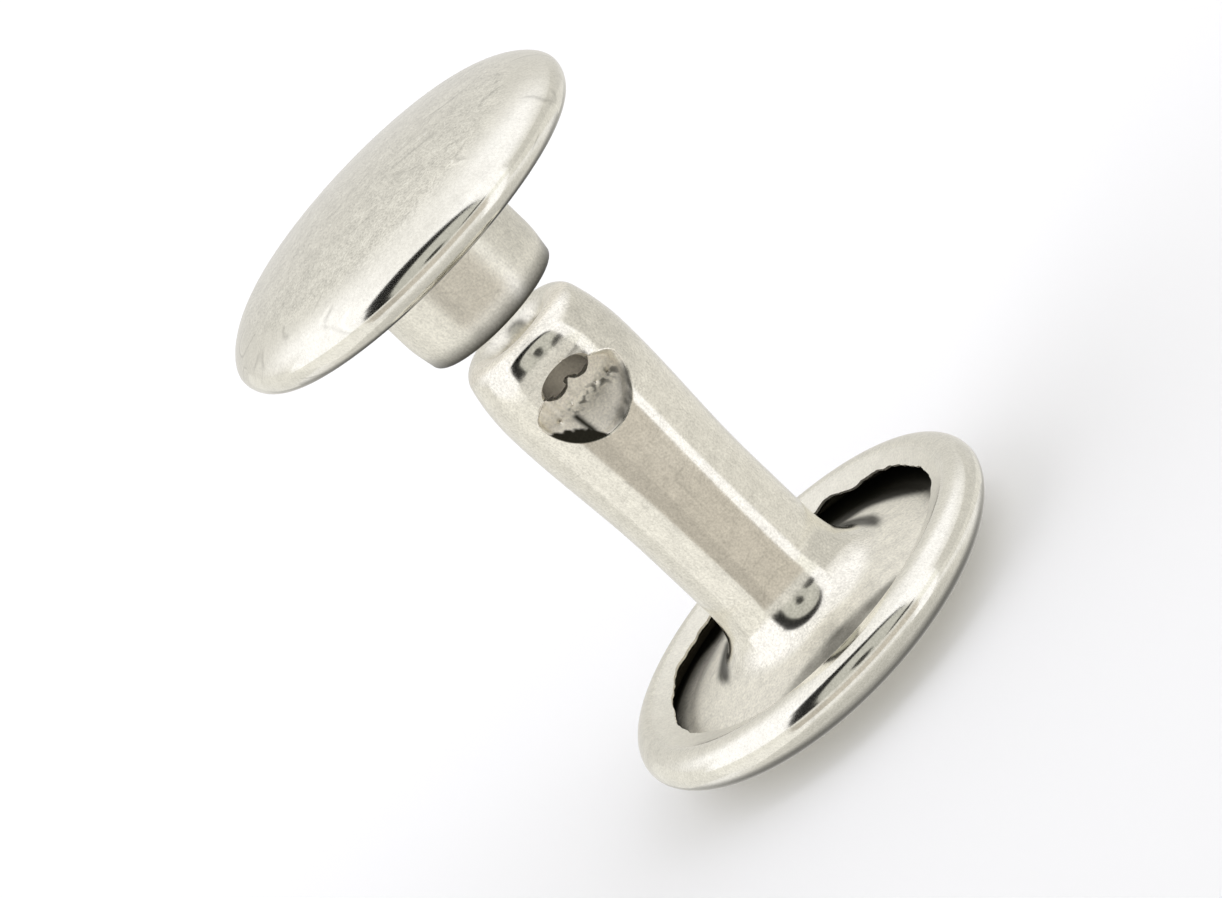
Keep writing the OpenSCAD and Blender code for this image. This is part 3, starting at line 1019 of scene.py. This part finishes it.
    def tear_opening(self, obj, head):
        """Takes out the faces in the opening and draws the sheet's new edge onto its outline."""
        bpy.ops.object.mode_set(mode="EDIT")
        bpy.ops.mesh.select_mode(type="FACE")
        bpy.ops.mesh.select_all(action="DESELECT")
        mesh = bmesh.from_edit_mesh(obj.data)
        for f in mesh.faces:
            c = f.calc_center_median()
            f.select = c.y < 0 and head.crease_z < c.z < head.arch_top and head.hole(c.x, c.z) < 0
        bmesh.update_edit_mesh(obj.data)
        bpy.ops.mesh.delete(type="FACE")
        mesh = bmesh.from_edit_mesh(obj.data)
        for v in mesh.verts:
            if v.is_boundary and v.co.y < 0 and v.co.z > head.crease_z:
                x, z = self.to_outline(head, v.co.x, v.co.z)
                v.co = (x, head.face_y(x, z), z)
        bmesh.update_edit_mesh(obj.data)
        bpy.ops.object.mode_set(mode="OBJECT")

    def to_outline(self, head, x, z):
        """The nearest place on the opening's outline, reached in four steps down its slope."""
        step = 0.002 * MM
        for _ in range(4):
            here = head.hole(x, z)
            gx = (head.hole(x + step, z) - here) / step
            gz = (head.hole(x, z + step) - here) / step
            scale = max(gx * gx + gz * gz, 0.2)
            x -= here * gx / scale
            z -= here * gz / scale
        return x, z


class RIVET_OT_cap_socket(bpy.types.Operator):
    """Socket: a short eyelet that hangs from the cap and draws in at its mouth"""

    bl_idname = "rivet.cap_socket"
    bl_label = "Cap socket"

    def execute(self, context):
        obj = draw_section("cap_socket_sheet", socket_section(context.scene.rivet_socket))
        turn_section(obj, (SOCKET_STEPS, 360))
        sheet_finish(obj, "drawn_plate")
        # Painted shade, darkening the socket towards its mouth
        mark(obj, "shade", lambda co: 0.95 * fade(co.z - SOCKET_LOW.z, 0.68 * MM, 0.02 * MM) ** 2)
        mark(obj, "dull", lambda co: SOCKET_DULL)
        finish_piece(obj, "cap_socket")
        obj.visible_glossy = False
        return {"FINISHED"}


class RIVET_OT_cap_shell(bpy.types.Operator):
    """Cap shell: a shallow dome with soft shoulders, folded under at its rim"""

    bl_idname = "rivet.cap_shell"
    bl_label = "Cap shell"

    def execute(self, context):
        s = context.scene.rivet_cap
        obj = draw_section("cap_shell_sheet", cap_section(s))
        turn_section(obj, (CAP_STEPS, 360))
        sheet_finish(obj, "scuffed_plate")
        shoulder = CAP_HIGH.x - s.shoulder_w
        mark(obj, "even", lambda co: fade(co.xy.length, shoulder, shoulder + 0.6 * MM))
        # Painted shade: a dark line along the hem at the rim's underside
        mark(obj, "shade", lambda co: 0.9 * fade(co.z - CAP_LOW.z, 0.11 * MM, 0.04 * MM))
        thicken(obj, s.sheet)
        finish_piece(obj, "cap_shell")
        obj.visible_glossy = False
        return {"FINISHED"}


class RIVET_OT_studio(bpy.types.Operator):
    """Studio: pale floor, soft tent of light, its camera opening, and the camera"""

    bl_idname = "rivet.studio"
    bl_label = "Studio"

    def execute(self, context):
        s = context.scene.rivet_studio
        middle = Vector((0, 0, (CAD_BOX[0].z + CAD_BOX[1].z) / 2))
        right = Vector((1, 0, 0))
        up = Vector((0, math.sin(s.elevation), math.cos(s.elevation)))
        back = Vector((0, -math.cos(s.elevation), math.sin(s.elevation)))
        self.camera(context, s, middle, right, up, back)
        self.floor()
        self.tent_light(context)
        for name, start, end, low, high, radius, tone in CLOTHS:
            self.cloth(name, start, end, low * MM, high * MM, radius * MM, tone)
        facing = Matrix.Translation(middle + OPENING_AWAY * back) @ self.turned(right, up, back)
        for name, centre, size, bottom, tone, nearer in OPENING:
            self.shape(name, facing, centre, size, bottom, tone, nearer)
        self.inner_card()
        return {"FINISHED"}

    def turned(self, right, up, back):
        return Matrix((right, up, back)).transposed().to_4x4()

    def camera(self, context, s, middle, right, up, back):
        across = math.cos(s.roll) * right - math.sin(s.roll) * up
        upward = math.sin(s.roll) * right + math.cos(s.roll) * up
        place = middle + s.distance * back - s.aim_x * right - s.aim_y * up
        bpy.ops.object.camera_add()
        cam = context.object
        cam.name = "photo_camera"
        cam.matrix_world = Matrix.Translation(place) @ self.turned(across, upward, back)
        cam.data.lens = s.lens
        cam.data.clip_start = CLIP_START
        cam.data.clip_end = CLIP_END
        context.scene.camera = cam

    def floor(self):
        bpy.ops.mesh.primitive_circle_add(vertices=OVAL_STEPS, radius=FLOOR_R, fill_type="NGON")
        floor = bpy.context.object
        floor.name = "floor"
        mat, tree = new_material("pale_floor")
        matt = {"Roughness": 0.9, "Specular_IOR_Level": 0.0}
        skin = node(tree, "ShaderNodeBsdfPrincipled", (0, 0), Base_Color=(1, 1, 1, 1), **matt)
        node(tree, "ShaderNodeOutputMaterial", (300, 0), Surface=skin)
        floor.data.materials.append(mat)
        floor.visible_glossy = False

    def tent_light(self, context):
        """The tent is white to the camera; to the metal its tone changes with height and side."""
        world = bpy.data.worlds.new("tent")
        context.scene.world = world
        world.use_nodes = True
        tree = world.node_tree
        tree.nodes.clear()
        place = (node(tree, "ShaderNodeTexCoord", (-700, 0)), "Generated")
        split = node(tree, "ShaderNodeSeparateXYZ", (-500, 0), place)
        height = remap(tree, (-300, 100), (split, "Z"), From_Min=-1.0, From_Max=1.0)
        level = stretched(tree, (-500, -250), place, (1, 1, 0))
        compass = node(tree, "ShaderNodeVectorMath", (-300, -250), level, operation="NORMALIZE")
        turned = node(tree, "ShaderNodeSeparateXYZ", (-200, -250), compass)
        ahead = remap(tree, (-50, -250), (turned, "Y"), From_Min=1.0, From_Max=0.52)
        ahead.interpolation_type = "SMOOTHSTEP"
        rear = self.tones(tree, (-100, 250), height, TENT_REAR)
        front = self.tones(tree, (-100, 0), height, TENT_FRONT)
        round_tone = mix(tree, (250, 100), Factor=ahead, A=rear, B=front)
        side = remap(tree, (250, -250), (split, "X"), From_Min=-0.7, From_Max=0.7, To_Min=1.03, To_Max=0.99)
        dome = tinted(tree, (450, 50), round_tone, side)
        ray = node(tree, "ShaderNodeLightPath", (450, 400))
        seen = mix(tree, (680, 100), Factor=(ray, "Is Camera Ray"), A=dome, B=(1, 1, 1, 1))
        tent = node(tree, "ShaderNodeBackground", (900, 0), Color=seen, Strength=1.0)
        node(tree, "ShaderNodeOutputWorld", (1100, 0), Surface=tent)

    def tones(self, tree, at, height, stops):
        """A ramp of the tent's tone over the height of a direction, warmer where it is darker."""
        ramp = node(tree, "ShaderNodeValToRGB", at, height)
        steps = ramp.color_ramp.elements
        for i, (up, tone) in enumerate(stops):
            share_up = (math.sin(math.radians(up)) + 1) / 2
            stop = steps[i] if i < 2 else steps.new(share_up)
            stop.position = share_up
            cool = min(max((tone - 0.8) / 0.4, 0), 1)
            stop.color = (tone, between(0.985, 1, cool) * tone, between(0.95, 1.04, cool) * tone, 1)
        return ramp

    def cloth(self, name, start, end, low, high, radius, tone):
        """An upright curved cloth between two azimuths, in degrees to the right of the camera's side."""
        obj = draw_section(name, [(radius, low), (radius, high)], math.radians(FRONT + start))
        turn(CLOTH_STEPS, end - start)
        bpy.ops.object.mode_set(mode="OBJECT")
        self.put_away(obj, tone)

    def shape(self, name, facing, centre, size, bottom, tone, nearer):
        """An upright oval round a centre in the opening's plane, cut off level at its bottom."""
        bpy.ops.mesh.primitive_circle_add(vertices=OVAL_STEPS, radius=1, fill_type="NGON")
        obj = bpy.context.object
        obj.name = name
        obj.scale = (size[0] * MM, size[1] * MM, 1)
        obj.location = (centre[0] * MM, centre[1] * MM, -nearer * MM)
        bpy.ops.object.transform_apply(location=True, rotation=True, scale=True)
        edit_all()
        bpy.ops.mesh.bisect(plane_co=(0, bottom * MM, 0), plane_no=(0, 1, 0), clear_inner=True)
        bpy.ops.object.mode_set(mode="OBJECT")
        obj.matrix_world = facing
        bpy.ops.object.transform_apply(location=True, rotation=True, scale=True)
        self.put_away(obj, tone)

    def inner_card(self):
        """A small card inside the tube, so that its inner side can be seen through the torn opening."""
        bpy.ops.mesh.primitive_circle_add(
            vertices=OVAL_STEPS // 2, radius=0.8 * MM, fill_type="NGON",
            location=(0, -0.5 * MM, POST_HIGH.z - 2.5 * MM), rotation=(math.radians(90), 0, 0),
        )
        card = bpy.context.object
        card.name = "inner_card"
        bpy.ops.object.transform_apply(location=True, rotation=True, scale=True)
        self.put_away(card, "inner_light")

    def put_away(self, obj, tone):
        """Only the metal sees it."""
        obj.data.materials.append(glow(tone))
        obj.visible_camera = False
        obj.visible_shadow = False


GROUPS = {
    "rivet_cap": CapSizes,
    "rivet_socket": SocketSizes,
    "rivet_post": PostSizes,
    "rivet_notch": NotchSizes,
    "rivet_base": BaseSizes,
    "rivet_finish": NickelFinish,
    "rivet_studio": StudioSizes,
}
OPERATORS = (
    RIVET_OT_base_shell,
    RIVET_OT_post,
    RIVET_OT_cap_socket,
    RIVET_OT_cap_shell,
    RIVET_OT_studio,
)


class RIVET_PT_build(bpy.types.Panel):
    """Lists the rivet's pieces and their sizes"""

    bl_idname = "RIVET_PT_build"
    bl_label = "Leather rivet"
    bl_space_type = "VIEW_3D"
    bl_region_type = "UI"
    bl_category = "Rivet"

    def draw(self, context):
        for operator in OPERATORS:
            self.layout.operator(operator.bl_idname)
        for name, group in GROUPS.items():
            box = self.layout.box()
            for size in group.__annotations__:
                box.prop(getattr(context.scene, name), size)


def register():
    for name, group in GROUPS.items():
        bpy.utils.register_class(group)
        setattr(bpy.types.Scene, name, PointerProperty(type=group))
    for kind in (*OPERATORS, RIVET_PT_build):
        bpy.utils.register_class(kind)


def unregister():
    for kind in (RIVET_PT_build, *reversed(OPERATORS)):
        bpy.utils.unregister_class(kind)
    for name, group in reversed(GROUPS.items()):
        delattr(bpy.types.Scene, name)
        bpy.utils.unregister_class(group)


def main():
    register()
    bpy.ops.rivet.base_shell()
    bpy.ops.rivet.post()
    bpy.ops.rivet.cap_socket()
    bpy.ops.rivet.cap_shell()
    bpy.ops.rivet.studio()
    bpy.context.scene.view_settings.view_transform = "Standard"


if __name__ == "__main__":
    main()
